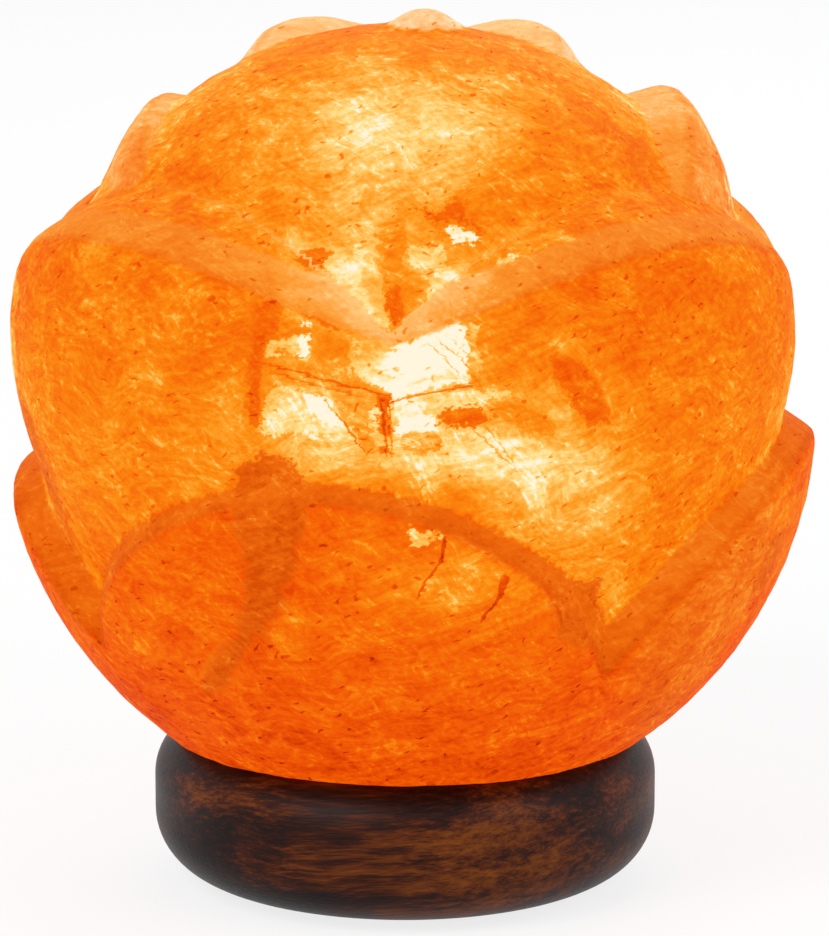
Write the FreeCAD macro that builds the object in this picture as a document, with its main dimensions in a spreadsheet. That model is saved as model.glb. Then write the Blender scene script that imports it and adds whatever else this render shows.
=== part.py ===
"""Salt crystal lamp: a ball of rock salt carved as a lotus, on a turned wooden base.

The lamp stands on z = 0 with its axis on Z. The front is -Y, +X is to the right.
Azimuths are in degrees from the front, growing towards +X. All lengths are in millimetres.
"""
import FreeCAD, Part
import Sketcher
import os
import re

# ---------------------------------------------------------------- driving sizes
SIZES = {
    # turned wooden base
    "base_radius": 50.5,
    "base_height": 29.5,
    "base_lower_round": 12.5,
    "base_upper_round": 10.0,
    "base_bore_radius": 20.0,
    "notch_width": 9.0,
    "notch_height": 8.0,
    # felt pads under the base
    "pad_thickness": 1.5,
    "pad_radius": 6.0,
    "pad_circle_radius": 28.5,
    "pad_first_azimuth": 90.0,
    # screws from the base into plugs in the salt
    "screw_circle_radius": 30.0,
    "screw_first_azimuth": 30.0,
    "counterbore_depth": 8.0,
    "counterbore_clearance": 0.8,
    "washer_radius": 4.6,
    "washer_thickness": 0.8,
    "screw_head_radius": 3.8,
    "screw_head_height": 2.4,
    "screw_radius": 2.0,
    "screw_length": 40.0,
    "screw_point_length": 4.0,
    "screw_tip_radius": 0.2,
    "screw_hole_clearance": 0.3,
    "recess_width": 0.9,
    "recess_length": 4.4,
    "recess_depth": 1.2,
    "plug_radius": 3.0,
    "plug_length": 25.0,
    "plug_collar_depth": 0.8,
    "plug_collar_width": 0.7,
    "fit_clearance": 0.05,
    # salt ball: core, cavity and the round blank that the lowest petals keep
    "ball_centre_lift": 65.5,
    "core_radius": 74.0,
    "core_drop": 2.5,
    "blank_radius": 81.5,
    "blank_offset": 0.7,
    "cavity_radius": 23.0,
    "cavity_straight": 70.0,
    "plug_hole_spare": 1.0,
    # lowest petals: balls that cut their outlines out of the blank
    "front_azimuth": -12.0,
    "front_out": 47.0,
    "front_drop": 38.0,
    "front_size": 50.0,
    "right_azimuth": 81.0,
    "right_out": 50.0,
    "right_drop": 46.0,
    "right_size": 53.0,
    "rear_azimuth": 170.0,
    "rear_out": 47.0,
    "rear_drop": 41.0,
    "rear_size": 50.0,
    "left_azimuth": -101.0,
    "left_out": 47.0,
    "left_drop": 53.0,
    "left_size": 50.0,
    # middle petals: two big ones at the front and two smaller ones behind
    "middle_azimuth": -47.0,
    "middle_out": 31.8,
    "middle_lift": 20.0,
    "middle_depth": 49.5,
    "middle_width": 59.0,
    "middle_rise": 49.0,
    "middle_rim_out": 39.0,
    "middle_rim_drop": 18.5,
    "middle_rim_size": 71.5,
    "hind_lift": 18.0,
    "hind_depth": 48.0,
    "hind_width": 56.5,
    "hind_rise": 47.5,
    "hind_rim_out": 37.5,
    "hind_rim_drop": 20.5,
    "hind_rim_size": 69.5,
    "foot_lift": 4.0,
    "foot_depth": 44.0,
    "foot_width": 53.0,
    "foot_rise": 60.0,
    # front dome petal
    "dome_azimuth": 4.0,
    "dome_out": 2.0,
    "dome_lift": 2.5,
    "dome_depth": 73.5,
    "dome_width": 73.8,
    "dome_rise": 74.0,
    "dome_rim_out": 30.0,
    "dome_rim_lift": 15.0,
    "dome_rim_size": 76.0,
    # upper petals at the right, the rear and the left
    "upper_depth": 32.5,
    "upper_width": 50.0,
    "upper_rim_size": 60.0,
    "upper_right_azimuth": 98.0,
    "upper_right_out": 33.0,
    "upper_right_lift": 33.5,
    "upper_right_rise": 40.0,
    "upper_right_rim_out": 63.0,
    "upper_right_rim_lift": 3.5,
    "upper_rear_azimuth": 180.0,
    "upper_rear_out": 30.0,
    "upper_rear_lift": 35.0,
    "upper_rear_rise": 40.0,
    "upper_rear_rim_out": 60.0,
    "upper_rear_rim_lift": 5.0,
    "upper_left_azimuth": -98.0,
    "upper_left_out": 28.5,
    "upper_left_lift": 33.0,
    "upper_left_rise": 38.5,
    "upper_left_rim_out": 60.0,
    "upper_left_rim_lift": 2.5,
    # crown petals and bud
    "crown_azimuth": 130.0,
    "crown_out": 8.0,
    "crown_lift": 40.0,
    "crown_depth": 39.0,
    "crown_width": 30.0,
    "crown_rise": 46.0,
    "crown_rim_out": 38.0,
    "crown_rim_lift": 25.0,
    "crown_rim_size": 50.0,
    "bud_azimuth": 90.0,
    "bud_out": 4.0,
    "bud_lift": 49.8,
    "bud_radius": 15.0,
    "bud_rise": 30.0,
    # lamp holder
    "holder_recess": 5.0,
    "holder_radius": 13.5,
    "cap_height": 12.0,
    "cap_round": 3.0,
    "cap_wall": 2.0,
    "body_height": 43.0,
    "chamber_radius": 11.3,
    "chamber_height": 14.0,
    "web_thickness": 4.0,
    "rim_chamfer": 1.0,
    "inlet_height": 6.0,
    "inlet_start": 5.6,
    "bush_bore_radius": 3.0,
    "bush_wall": 0.9,
    "bush_flange_width": 1.2,
    "bush_flange_thickness": 1.4,
    # brass parts of the holder
    "sleeve_radius": 7.3,
    "sleeve_thickness": 0.7,
    "sleeve_height": 22.5,
    "sheet_thickness": 0.5,
    "tab_length": 4.5,
    "strip_width": 4.0,
    "tongue_reach": 1.6,
    "tongue_rise": 1.7,
    "terminal_offset": 4.8,
    "terminal_length": 4.6,
    "terminal_width": 6.0,
    "terminal_height": 7.0,
    "rivet_radius": 0.9,
    "rivet_head_radius": 1.5,
    "rivet_head_height": 0.5,
    "rivet_depth": 1.5,
    "terminal_screw_radius": 1.2,
    "terminal_screw_length": 4.5,
    "terminal_head_radius": 2.0,
    "terminal_head_height": 1.6,
    "slot_width": 0.6,
    "slot_depth": 0.8,
    # spring clip
    "clip_rise": 0.6,
    "band_height": 6.0,
    "finger_width": 9.0,
    "finger_rise": 7.0,
    "finger_return": 5.0,
    "finger_inset": 3.2,
    "finger_clearance": 0.3,
    # screw-base bulb
    "contact_gap": 0.3,
    "button_radius": 2.2,
    "button_face_radius": 1.8,
    "button_height": 1.4,
    "insulator_height": 4.1,
    "insulator_radius": 3.6,
    "thread_radius": 6.3,
    "thread_crest": 0.645,
    "thread_pitch": 2.82,
    "thread_count": 6.0,
    "cap_shell": 0.4,
    "collar_height": 4.0,
    "collar_radius": 8.6,
    "neck_radius": 7.6,
    "glass_radius": 13.0,
    "glass_thickness": 0.8,
    "shoulder_radius": 12.2,
    "shoulder_drop": 4.5,
    "bulb_length": 57.0,
    "stem_radius": 3.0,
    "stem_height": 12.0,
    "stem_foot_height": 1.5,
    "wire_radius": 0.3,
    "wire_foot_out": 2.0,
    "wire_foot_gap": 0.15,
    "filament_height": 9.0,
    "filament_radius": 5.5,
    "filament_thickness": 0.35,
    "filament_angle": 180.0,
}

# ---------------------------------------------------------------- shared heights
SEAT = "(pad_thickness + base_height)"
BALL = f"({SEAT} + ball_centre_lift)"
CAP_BOTTOM = "(pad_thickness + holder_recess)"
BODY_BOTTOM = f"({CAP_BOTTOM} + cap_height)"
BODY_TOP = f"({BODY_BOTTOM} + body_height)"
WEB_BOTTOM = f"({BODY_BOTTOM} + chamber_height)"
WEB_TOP = f"({WEB_BOTTOM} + web_thickness)"
TONGUE_TOP = f"({WEB_TOP} + tongue_rise)"
BULB_BOTTOM = f"({TONGUE_TOP} + contact_gap)"
THREAD_BOTTOM = f"({BULB_BOTTOM} + button_height + insulator_height)"
THREAD_HEIGHT = "(thread_pitch * thread_count)"
THREAD_TOP = f"({THREAD_BOTTOM} + {THREAD_HEIGHT})"
GLASS_BOTTOM = f"({THREAD_TOP} + collar_height - glass_thickness)"
GLASS_CENTRE = f"({BULB_BOTTOM} + bulb_length - glass_radius)"
SCREW_FLOOR = "(pad_thickness + counterbore_depth)"
HEAD_TOP = f"({SCREW_FLOOR} - washer_thickness)"
BAND_BOTTOM = f"({BODY_BOTTOM} + clip_rise)"
BAND_INNER = "(holder_radius + fit_clearance)"
BAND_OUTER = f"({BAND_INNER} + sheet_thickness)"
FINGER_REACH = "(base_bore_radius - finger_clearance)"
BUSH_RADIUS = "(bush_bore_radius + bush_wall)"

SCREW_COUNT = 3
PAD_COUNT = 3
FINGER_COUNT = 3
PETAL_COUNT = 4
FRONT_COUNT = 2
CROWN_COUNT = 2
MARGIN = 5.0
FULL_TURN = 360.0
QUARTER = 90.0

DOC = FreeCAD.newDocument("salt_lamp")
SHEET = DOC.addObject("Spreadsheet::Sheet", "Sizes")
NODES = []


def fill_sheet():
    """Write every driving size into the sheet under its own name."""
    for row, (name, size) in enumerate(SIZES.items(), start=1):
        SHEET.set(f"A{row}", name)
        SHEET.set(f"B{row}", str(size))
        SHEET.setAlias(f"B{row}", name)
    DOC.recompute()


def bound(text):
    """Turn an expression in size names into one that reads the sheet's cells."""
    return re.sub(r"[a-z]+(?:_[a-z]+)+", lambda found: f"Sizes.{found[0]}", str(text))


def polar(radius, azimuth, height):
    """Place expressions for a point at a radius, an azimuth and a height."""
    return (f"({radius}) * sin({azimuth})", f"-({radius}) * cos({azimuth})", height)


def place(item, at, turn):
    """Bind an item's place, and its turn about its rotation axis."""
    for axis_name, text in zip("xyz", at):
        item.setExpression(f"Placement.Base.{axis_name}", bound(text))
    item.setExpression("Placement.Rotation.Angle", bound(turn))


def primitive(kind, label, at=("0", "0", "0"), turn="0", **sizes):
    """Add one Part primitive whose sizes and place are bound to the sheet."""
    item = DOC.addObject(f"Part::{kind}", label)
    for size_name, text in sizes.items():
        item.setExpression(size_name, bound(text))
    place(item, at, turn)
    return item


def upright(radius, height, bottom, label, around=None):
    """A vertical cylinder; around is an optional (radius, azimuth) of its axis."""
    at = polar(*around, bottom) if around else ("0", "0", bottom)
    return primitive("Cylinder", label, at, Radius=radius, Height=height)


def frustum(low, high, height, bottom, label):
    """A vertical cone from one radius to another."""
    return primitive("Cone", label, ("0", "0", bottom), Radius1=low, Radius2=high, Height=height)


def block(corner, size, label):
    """A box from its low corner and its three lengths."""
    length, width, height = size
    return primitive("Box", label, corner, Length=length, Width=width, Height=height)


def ball(radius, at, label):
    """A whole sphere."""
    return primitive("Sphere", label, at, Radius=radius)


def egg(depth, width, rise, out, azimuth, height, label):
    """An ellipsoid that stands on an azimuth: depth is radial, width is tangential."""
    item = primitive("Ellipsoid", label, polar(out, azimuth, height), f"{azimuth} - {QUARTER}",
                     Radius1=rise, Radius2=depth, Radius3=width)
    item.Angle1 = -QUARTER
    item.Angle2 = QUARTER
    item.Angle3 = FULL_TURN
    return item


def fuse(label, items):
    """One solid out of several."""
    item = DOC.addObject("Part::MultiFuse", label)
    item.Shapes = items
    return item


def group(label, items):
    """Several separate solids that share one name."""
    item = DOC.addObject("Part::Compound", label)
    item.Links = items
    return item


def common(label, first, second):
    """What two solids share."""
    item = DOC.addObject("Part::Common", label)
    item.Base = first
    item.Tool = second
    return item


def cut(label, base, tool):
    """A solid less another one."""
    item = DOC.addObject("Part::Cut", label)
    item.Base = base
    item.Tool = tool
    return item


def tube(outer, inner, height, bottom, label):
    """A vertical tube."""
    return cut(label, upright(outer, height, bottom, f"{label}_outside"),
               upright(inner, height, bottom, f"{label}_inside"))


def node(item, name):
    """Name a finished sub-part."""
    item.Label = name
    NODES.append(item)
    return item


def evenly(first, count, number):
    """The azimuth of one of a ring of equal items."""
    return f"({first} + {FULL_TURN / count * number})"


# ---------------------------------------------------------------- wooden base
def origin_plane(body, role):
    """One of a body's own origin planes."""
    return next(item for item in body.Origin.OriginFeatures if item.Role == role)


def circle_sketch(body, name, radius, out=None):
    """A sketch on the body's XY plane with one circle, centred or out along X."""
    sketch = body.newObject("Sketcher::SketchObject", name)
    sketch.AttachmentSupport = (origin_plane(body, "XY_Plane"), [""])
    sketch.MapMode = "FlatFace"
    start = FreeCAD.Vector(SHEET.get(out) if out else 0.0, 0, 0)
    first_radius = 1.0
    sketch.addGeometry(Part.Circle(start, FreeCAD.Vector(0, 0, 1), first_radius), False)
    if out:
        sketch.addConstraint(Sketcher.Constraint("PointOnObject", 0, 3, -1))
        spot = sketch.addConstraint(Sketcher.Constraint("DistanceX", -1, 1, 0, 3, start.x))
        sketch.setExpression(f"Constraints[{spot}]", bound(out))
    else:
        sketch.addConstraint(Sketcher.Constraint("Coincident", 0, 3, -1, 1))
    size = sketch.addConstraint(Sketcher.Constraint("Radius", 0, first_radius))
    sketch.setExpression(f"Constraints[{size}]", bound(radius))
    return sketch


def round_edges(body, name, base, height, radius):
    """Round the outer edge of the turned blank that lies at a height."""
    DOC.recompute()
    edges = [f"Edge{number}" for number, edge in enumerate(base.Shape.Edges, start=1)
             if isinstance(edge.Curve, Part.Circle) and abs(edge.Curve.Center.z - height) < 1e-6]
    feature = body.newObject("PartDesign::Fillet", name)
    feature.Base = (base, edges)
    feature.setExpression("Radius", bound(radius))
    return feature


def pocket(body, name, sketch, depth):
    """Sink a sketch up into the body from its underside."""
    feature = body.newObject("PartDesign::Pocket", name)
    feature.Profile = sketch
    feature.Type = 0
    feature.Reversed = True
    feature.setExpression("Length", bound(depth))
    sketch.Visibility = False
    return feature


def ring_of(body, name, feature, count):
    """Repeat a pocket around the axis."""
    pattern = body.newObject("PartDesign::PolarPattern", name)
    pattern.Originals = [feature]
    pattern.Axis = (origin_plane(body, "Z_Axis"), [""])
    pattern.Angle = FULL_TURN
    pattern.Occurrences = count
    body.Tip = pattern
    return pattern


def wood_base():
    """Turned base with its through bore, screw holes and the notch for the lead."""
    body = DOC.addObject("PartDesign::Body", "base_turning")
    blank = body.newObject("PartDesign::Pad", "base_blank")
    blank.Profile = circle_sketch(body, "base_outline", "base_radius")
    blank.setExpression("Length", bound("base_height"))
    lower = round_edges(body, "base_lower_edge", blank, 0.0, "base_lower_round")
    round_edges(body, "base_upper_edge", lower, SHEET.get("base_height"), "base_upper_round")
    pocket(body, "base_bore", circle_sketch(body, "bore_outline", "base_bore_radius"), "base_height")
    hole = pocket(body, "screw_hole",
                  circle_sketch(body, "hole_outline", "screw_radius + screw_hole_clearance",
                                out="screw_circle_radius"), "base_height")
    ring_of(body, "screw_holes", hole, SCREW_COUNT)
    sink = pocket(body, "counterbore",
                  circle_sketch(body, "sink_outline", "washer_radius + counterbore_clearance",
                                out="screw_circle_radius"), "counterbore_depth")
    ring_of(body, "counterbores", sink, SCREW_COUNT)
    place(body, ("0", "0", "pad_thickness"), f"screw_first_azimuth - {QUARTER}")
    notch = block(("-notch_width / 2", "0", "0"),
                  ("notch_width", f"base_radius + {MARGIN}", "pad_thickness + notch_height"),
                  "lead_notch")
    node(cut("base_with_notch", body, notch), "wood_base")


# ---------------------------------------------------------------- pads, screws and plugs
def foot_pads():
    """Round felt pads stuck under the base."""
    pads = [upright("pad_radius", "pad_thickness", "0", f"pad_{number}",
                    ("pad_circle_radius", evenly("pad_first_azimuth", PAD_COUNT, number)))
            for number in range(PAD_COUNT)]
    node(group("pads", pads), "foot_pads")


def screw_spot(number):
    """Where one of the fixing screws stands."""
    return ("screw_circle_radius", evenly("screw_first_azimuth", SCREW_COUNT, number))


def fixing_screw(number):
    """A pan-head wood screw, head down, with a cross recess."""
    radius, azimuth = screw_spot(number)
    shank_length = "(screw_length - screw_point_length)"
    head_bottom = f"({HEAD_TOP} - screw_head_height)"
    head = upright("screw_head_radius", "screw_head_height", head_bottom, f"head_{number}",
                   (radius, azimuth))
    shank = upright("screw_radius", shank_length, HEAD_TOP, f"shank_{number}", (radius, azimuth))
    point = primitive("Cone", f"point_{number}",
                      polar(radius, azimuth, f"{HEAD_TOP} + {shank_length}"),
                      Radius1="screw_radius", Radius2="screw_tip_radius",
                      Height="screw_point_length")
    x, y, _ = polar(radius, azimuth, "0")
    across = block((f"{x} - recess_length / 2", f"{y} - recess_width / 2", head_bottom),
                   ("recess_length", "recess_width", "recess_depth"), f"recess_across_{number}")
    along = block((f"{x} - recess_width / 2", f"{y} - recess_length / 2", head_bottom),
                  ("recess_width", "recess_length", "recess_depth"), f"recess_along_{number}")
    return cut(f"screw_{number}", fuse(f"screw_blank_{number}", [head, shank, point]),
               fuse(f"recess_{number}", [across, along]))


def fixing_screws():
    """The screws that hold the salt down on the base, with their washers and plugs."""
    screws, washers, plugs = [], [], []
    for number in range(SCREW_COUNT):
        spot = screw_spot(number)
        screws.append(fixing_screw(number))
        washers.append(cut(f"washer_{number}",
                           upright("washer_radius", "washer_thickness", HEAD_TOP,
                                   f"washer_disc_{number}", spot),
                           upright("screw_radius + screw_hole_clearance", "washer_thickness",
                                   HEAD_TOP, f"washer_hole_{number}", spot)))
        outside = fuse(f"plug_outside_{number}",
                       [upright("plug_radius", "plug_length", SEAT, f"plug_barrel_{number}", spot),
                        upright("plug_radius + plug_collar_width", "plug_collar_depth", SEAT,
                                f"plug_collar_{number}", spot)])
        plugs.append(cut(f"plug_{number}", outside,
                         upright("screw_radius + fit_clearance", "plug_length", SEAT,
                                 f"plug_bore_{number}", spot)))
    node(group("screws", screws), "fixing_screws")
    node(group("washers", washers), "screw_washers")
    node(group("plugs", plugs), "salt_plugs")


# ---------------------------------------------------------------- carved salt
def trimmed(name, bulge, azimuth, rim_out, rim_height, rim_size):
    """A petal: a bulge whose upper outline is cut by a ball, which leaves a bevelled rim."""
    return common(name, bulge, ball(rim_size, polar(rim_out, azimuth, rim_height), f"{name}_rim"))


def lowest_petal(side):
    """One of the lowest petals: what is left of the round blank inside its outline."""
    blank = ball("blank_radius", ("blank_offset", "0", BALL), f"{side}_blank")
    return trimmed(f"{side}_petal", blank, f"{side}_azimuth", f"{side}_out", f"{BALL} - {side}_drop",
                   f"{side}_size")


def middle_petal(number):
    """One of the broad petals of the middle tier, with the foot that runs down from it."""
    azimuth = evenly("middle_azimuth", PETAL_COUNT, number)
    size = "middle" if number < FRONT_COUNT else "hind"
    bulge = egg(f"{size}_depth", f"{size}_width", f"{size}_rise", "middle_out", azimuth,
                f"{BALL} + {size}_lift", f"middle_bulge_{number}")
    foot = egg("foot_depth", "foot_width", "foot_rise", "middle_out", azimuth,
               f"{BALL} + foot_lift", f"middle_foot_{number}")
    return trimmed(f"middle_petal_{number}", fuse(f"middle_blank_{number}", [bulge, foot]), azimuth,
                   f"{size}_rim_out", f"{BALL} - {size}_rim_drop", f"{size}_rim_size")


def dome_petal():
    """The big round petal of the upper tier at the front."""
    bulge = egg("dome_depth", "dome_width", "dome_rise", "dome_out", "dome_azimuth",
                f"{BALL} + dome_lift", "dome_bulge")
    return trimmed("dome_petal", bulge, "dome_azimuth", "dome_rim_out", f"{BALL} + dome_rim_lift",
                   "dome_rim_size")


def upper_petal(side):
    """One of the smaller petals of the upper tier."""
    name = f"upper_{side}"
    azimuth = f"{name}_azimuth"
    bulge = egg("upper_depth", "upper_width", f"{name}_rise", f"{name}_out", azimuth,
                f"{BALL} + {name}_lift", f"{name}_bulge")
    return trimmed(f"{name}_petal", bulge, azimuth, f"{name}_rim_out", f"{BALL} + {name}_rim_lift",
                   "upper_rim_size")


def crown_petal(number):
    """One of the two petals that close over the bud behind the dome."""
    azimuth = evenly("crown_azimuth", PETAL_COUNT, number)
    bulge = egg("crown_depth", "crown_width", "crown_rise", "crown_out", azimuth,
                f"{BALL} + crown_lift", f"crown_bulge_{number}")
    return trimmed(f"crown_petal_{number}", bulge, azimuth, "crown_rim_out",
                   f"{BALL} + crown_rim_lift", "crown_rim_size")


def salt_block():
    """The carved ball, cut flat where it stands on the base and hollowed from below."""
    core = ball("core_radius", ("0", "0", f"{BALL} - core_drop"), "core")
    bud = egg("bud_radius", "bud_radius", "bud_rise", "bud_out", "bud_azimuth", f"{BALL} + bud_lift",
              "bud")
    petals = [lowest_petal(side) for side in ("front", "right", "rear", "left")]
    petals += [middle_petal(number) for number in range(PETAL_COUNT)]
    petals += [dome_petal()] + [upper_petal(side) for side in ("right", "rear", "left")]
    petals += [crown_petal(number) for number in range(CROWN_COUNT)]
    carved = fuse("carved_ball", [core, bud] + petals)
    below = upright(f"blank_radius + {MARGIN}", SEAT, "0", "below_seat")
    hollows = [upright("cavity_radius", "cavity_straight", SEAT, "cavity_bore"),
               ball("cavity_radius", ("0", "0", f"{SEAT} + cavity_straight"), "cavity_end")]
    for number in range(SCREW_COUNT):
        spot = screw_spot(number)
        hollows.append(upright("plug_radius + fit_clearance", "plug_length + plug_hole_spare", SEAT,
                               f"plug_hole_{number}", spot))
        hollows.append(upright("plug_radius + plug_collar_width + fit_clearance",
                               "plug_collar_depth + fit_clearance", SEAT, f"collar_sink_{number}", spot))
    node(cut("carved_salt", carved, fuse("salt_hollows", [below] + hollows)), "salt_block")


# ---------------------------------------------------------------- lamp holder
def holder_cap():
    """Lower cup of the holder, with the lead's inlet facing the notch at the rear."""
    shell = DOC.addObject("Part::Fillet", "cap_shell_rounded")
    shell.Base = upright("holder_radius", "cap_height", CAP_BOTTOM, "cap_blank")
    DOC.recompute()
    edges = shell.Base.Shape.Edges
    lower_edge = 1 + min(range(len(edges)), key=lambda number: edges[number].BoundBox.ZMax)
    rounding = SHEET.get("cap_round")
    shell.Edges = [(lower_edge, rounding, rounding)]
    room = upright("chamber_radius", "cap_height - cap_wall", f"{CAP_BOTTOM} + cap_wall", "cap_room")
    inlet = along_rear(f"{BUSH_RADIUS} + fit_clearance", "inlet_start",
                       f"holder_radius + {MARGIN}", "cap_inlet")
    node(cut("cap_with_inlet", shell, fuse("cap_hollows", [room, inlet])), "holder_cap")


def along_rear(radius, start, end, label):
    """A cylinder along +Y at the height of the lead's inlet."""
    item = DOC.addObject("Part::Cylinder", label)
    item.Placement = FreeCAD.Placement(FreeCAD.Vector(), FreeCAD.Rotation(FreeCAD.Vector(1, 0, 0), -QUARTER))
    item.setExpression("Radius", bound(radius))
    item.setExpression("Height", bound(f"{end} - ({start})"))
    item.setExpression("Placement.Base.y", bound(start))
    item.setExpression("Placement.Base.z", bound(f"{CAP_BOTTOM} + inlet_height"))
    return item


def inlet_bush():
    """Flanged bush that lines the lead's inlet."""
    flange_end = "holder_radius + fit_clearance + bush_flange_thickness"
    barrel = along_rear(BUSH_RADIUS, "chamber_radius", flange_end, "bush_barrel")
    flange = along_rear(f"{BUSH_RADIUS} + bush_flange_width", "holder_radius + fit_clearance",
                        flange_end, "bush_flange")
    bore = along_rear("bush_bore_radius", "inlet_start", f"holder_radius + {MARGIN}", "bush_bore")
    node(cut("bush", fuse("bush_blank", [barrel, flange]), bore), "inlet_bush")


def holder_body():
    """Upper cup of the holder: socket above the web, wiring chamber below it."""
    blank = upright("holder_radius", "body_height - rim_chamfer", BODY_BOTTOM, "body_blank")
    rim = frustum("holder_radius", "holder_radius - rim_chamfer", "rim_chamfer",
                  f"{BODY_TOP} - rim_chamfer", "body_rim")
    chamber = upright("chamber_radius", "chamber_height", BODY_BOTTOM, "body_chamber")
    socket = upright("sleeve_radius + sleeve_thickness + fit_clearance",
                     f"{BODY_TOP} - {WEB_TOP}", WEB_TOP, "body_socket")
    holes = [primitive("Cylinder", f"rivet_hole_{side}", (x, "0", WEB_BOTTOM),
                       Radius="rivet_radius + fit_clearance", Height="web_thickness")
             for side, x in terminal_sides()]
    node(cut("body_cup", fuse("body_outside", [blank, rim]),
             fuse("body_hollows", [chamber, socket] + holes)), "holder_body")


def terminal_sides():
    """The two terminals' names and places along X."""
    return (("live", "-terminal_offset"), ("return", "terminal_offset"))


def thread_sleeve():
    """Brass sleeve that the bulb's cap screws into, with its contact tab."""
    wall = tube("sleeve_radius + sleeve_thickness", "sleeve_radius", "sleeve_height", WEB_TOP, "sleeve")
    tab = block(("sleeve_radius - tab_length", "-strip_width / 2", WEB_TOP),
                ("tab_length + sleeve_thickness / 2", "strip_width", "sheet_thickness"), "sleeve_tab")
    hole = primitive("Cylinder", "sleeve_tab_hole", ("terminal_offset", "0", WEB_TOP),
                     Radius="rivet_radius + fit_clearance", Height="sheet_thickness")
    node(cut("sleeve_with_hole", fuse("sleeve_with_tab", [wall, tab]), hole), "thread_sleeve")


def centre_contact():
    """Bent brass tongue under the bulb's contact button."""
    foot_start = "(-terminal_offset - rivet_head_radius)"
    foot = block((foot_start, "-strip_width / 2", WEB_TOP),
                 (f"-tongue_reach - {foot_start}", "strip_width", "sheet_thickness"), "tongue_foot")
    riser = block(("-tongue_reach - sheet_thickness", "-strip_width / 2", WEB_TOP),
                  ("sheet_thickness", "strip_width", "tongue_rise"), "tongue_riser")
    top = block(("-tongue_reach - sheet_thickness", "-strip_width / 2", f"{TONGUE_TOP} - sheet_thickness"),
                ("2 * tongue_reach + sheet_thickness", "strip_width", "sheet_thickness"), "tongue_top")
    hole = primitive("Cylinder", "tongue_hole", ("-terminal_offset", "0", WEB_TOP),
                     Radius="rivet_radius + fit_clearance", Height="sheet_thickness")
    node(cut("tongue", fuse("tongue_blank", [foot, riser, top]), hole), "centre_contact")


def terminals():
    """Brass terminal blocks under the web, their screws, and the rivets through the web."""
    blocks, screws, rivets = [], [], []
    block_bottom = f"({WEB_BOTTOM} - terminal_height)"
    rivet_bottom = f"({WEB_BOTTOM} - rivet_depth)"
    rivet_top = f"({WEB_TOP} + sheet_thickness)"
    for side, x in terminal_sides():
        blank = block((f"{x} - terminal_length / 2", "-terminal_width / 2", block_bottom),
                      ("terminal_length", "terminal_width", "terminal_height"), f"terminal_blank_{side}")
        shank_hole = primitive("Cylinder", f"terminal_thread_{side}", (x, "0", block_bottom),
                               Radius="terminal_screw_radius + fit_clearance",
                               Height="terminal_screw_length + fit_clearance")
        rivet_hole = primitive("Cylinder", f"terminal_rivet_hole_{side}", (x, "0", rivet_bottom),
                               Radius="rivet_radius + fit_clearance", Height="rivet_depth")
        blocks.append(cut(f"terminal_{side}", blank,
                          fuse(f"terminal_holes_{side}", [shank_hole, rivet_hole])))
        shank = primitive("Cylinder", f"terminal_shank_{side}", (x, "0", block_bottom),
                          Radius="terminal_screw_radius", Height="terminal_screw_length")
        head_bottom = f"({block_bottom} - terminal_head_height)"
        head = primitive("Cylinder", f"terminal_head_{side}", (x, "0", head_bottom),
                         Radius="terminal_head_radius", Height="terminal_head_height")
        slot = block((f"{x} - terminal_head_radius", "-slot_width / 2", head_bottom),
                     ("2 * terminal_head_radius", "slot_width", "slot_depth"), f"terminal_slot_{side}")
        screws.append(cut(f"terminal_screw_{side}",
                          fuse(f"terminal_screw_blank_{side}", [shank, head]), slot))
        rivet_shank = primitive("Cylinder", f"rivet_shank_{side}", (x, "0", rivet_bottom),
                                Radius="rivet_radius", Height=f"{rivet_top} - {rivet_bottom}")
        rivet_head = primitive("Cylinder", f"rivet_head_{side}", (x, "0", rivet_top),
                               Radius="rivet_head_radius", Height="rivet_head_height")
        rivets.append(fuse(f"rivet_{side}", [rivet_shank, rivet_head]))
    node(group("terminal_pair", blocks), "terminal_blocks")
    node(group("terminal_screw_pair", screws), "terminal_screws")
    node(group("rivet_pair", rivets), "contact_rivets")


def conical_shell(low, high, height, bottom, label):
    """A thin conical sheet, as thick as the clip's steel along the radius."""
    return cut(label, frustum(low, high, height, bottom, f"{label}_outside"),
               frustum(f"{low} - sheet_thickness", f"{high} - sheet_thickness", height, bottom,
                       f"{label}_inside"))


def spring_clip():
    """Spring-steel band round the holder, with bent fingers that grip the base's bore."""
    band = tube(BAND_OUTER, BAND_INNER, "band_height", BAND_BOTTOM, "band")
    ridge = f"({BAND_BOTTOM} + finger_rise)"
    leg = conical_shell(f"({BAND_OUTER})", f"({FINGER_REACH})", "finger_rise", BAND_BOTTOM, "finger_leg")
    lead = conical_shell(f"({FINGER_REACH})", f"({FINGER_REACH} - finger_inset)", "finger_return",
                         ridge, "finger_lead")
    sectors = [primitive("Box", f"finger_sector_{number}",
                         polar("finger_width / 2", f"{sector_azimuth(number)} - {QUARTER}", BAND_BOTTOM),
                         f"{sector_azimuth(number)} - {QUARTER}",
                         Length="base_bore_radius", Width="finger_width",
                         Height="finger_rise + finger_return")
               for number in range(FINGER_COUNT)]
    fingers = common("fingers", fuse("finger_cones", [leg, lead]), fuse("finger_sectors", sectors))
    node(fuse("clip", [band, fingers]), "spring_clip")


def sector_azimuth(number):
    """The azimuth of one finger; none stands over the lead's inlet."""
    return f"{FULL_TURN / FINGER_COUNT * number}"


# ---------------------------------------------------------------- bulb
def bulb_button():
    """Solder contact at the bottom of the bulb's cap."""
    node(frustum("button_face_radius", "button_radius", "button_height", BULB_BOTTOM, "button"),
         "bulb_button")


def bulb_insulator():
    """Black glass between the contact button and the cap's shell."""
    node(frustum("insulator_radius", "thread_radius - cap_shell - fit_clearance", "insulator_height",
                 f"{BULB_BOTTOM} + button_height", "insulator"), "bulb_insulator")


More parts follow.
